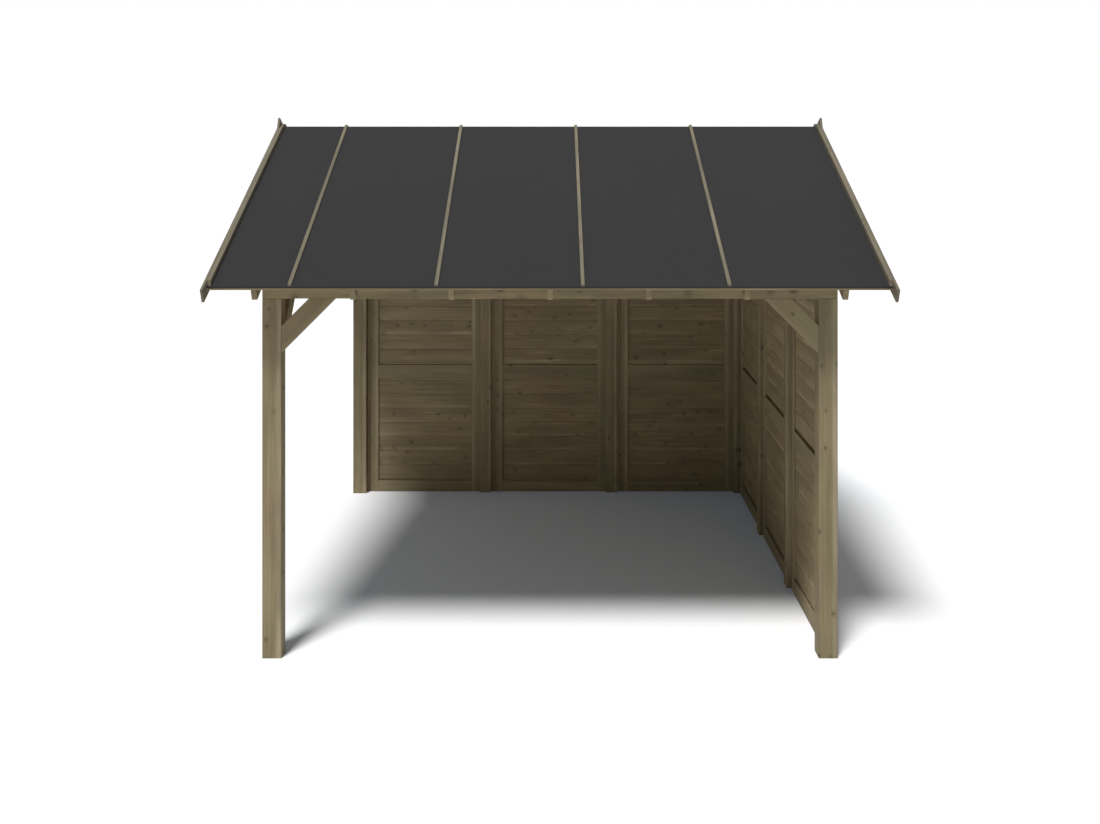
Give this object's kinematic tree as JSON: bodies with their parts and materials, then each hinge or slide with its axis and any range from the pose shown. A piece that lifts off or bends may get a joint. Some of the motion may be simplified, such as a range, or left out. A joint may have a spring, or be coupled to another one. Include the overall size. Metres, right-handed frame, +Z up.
{
  "type": "garden pergola with a gable roof",
  "caption": "Open timber garden pergola: posts and braced beams carry a felted gable roof; framed board panels close the rear and the right-hand side.",
  "frame": {"origin": "on the ground, at the centre of the plan", "axes": "+X to the right along the ridge, +Y to the rear, +Z up"},
  "size_m": [4.184, 4.276, 3.407],
  "materials": {
    "frame_timber": "pressure-treated softwood, planed, greenish brown, matt",
    "panel_timber": "pressure-treated softwood boards in a frame, greenish brown, matt",
    "roof_boards": "pressure-treated softwood boards, matt",
    "roofing_felt": "dark grey mineral roofing felt, fine grain, matt",
    "trim_timber": "pressure-treated softwood laths and bargeboards, lighter, matt"
  },
  "bodies": {
    "root": {"post_front_left": "frame_timber", "post_front_right": "frame_timber", "post_rear_left": "frame_timber", "post_rear_right": "frame_timber", "rear_mid_post_left": "frame_timber", "rear_mid_post_right": "frame_timber", "right_mid_post_rear": "frame_timber", "right_mid_post_front": "frame_timber", "beam_front": "frame_timber", "beam_rear": "frame_timber", "beam_left": "frame_timber", "beam_right": "frame_timber", "king_post_left": "frame_timber", "king_post_right": "frame_timber", "ridge_board": "frame_timber", "brace_front_left": "frame_timber", "brace_front_right": "frame_timber", "brace_left_front": "frame_timber", "brace_left_rear": "frame_timber", "rafter_pair_1": "frame_timber", "rafter_pair_2": "frame_timber", "rafter_pair_3": "frame_timber", "rafter_pair_4": "frame_timber", "rafter_pair_5": "frame_timber", "rafter_pair_6": "frame_timber", "rafter_pair_7": "frame_timber", "rear_panel_left": "panel_timber", "rear_panel_middle": "panel_timber", "rear_panel_right": "panel_timber", "right_panel_rear": "panel_timber", "right_panel_middle": "panel_timber", "right_panel_front": "panel_timber", "roof_boards_front": "roof_boards", "roof_boards_rear": "roof_boards", "felt_front": "roofing_felt", "felt_rear": "roofing_felt", "felt_laths": "trim_timber", "bargeboard_front_left": "trim_timber", "bargeboard_front_right": "trim_timber", "bargeboard_rear_left": "trim_timber", "bargeboard_rear_right": "trim_timber"}
  },
  "joints": []
}
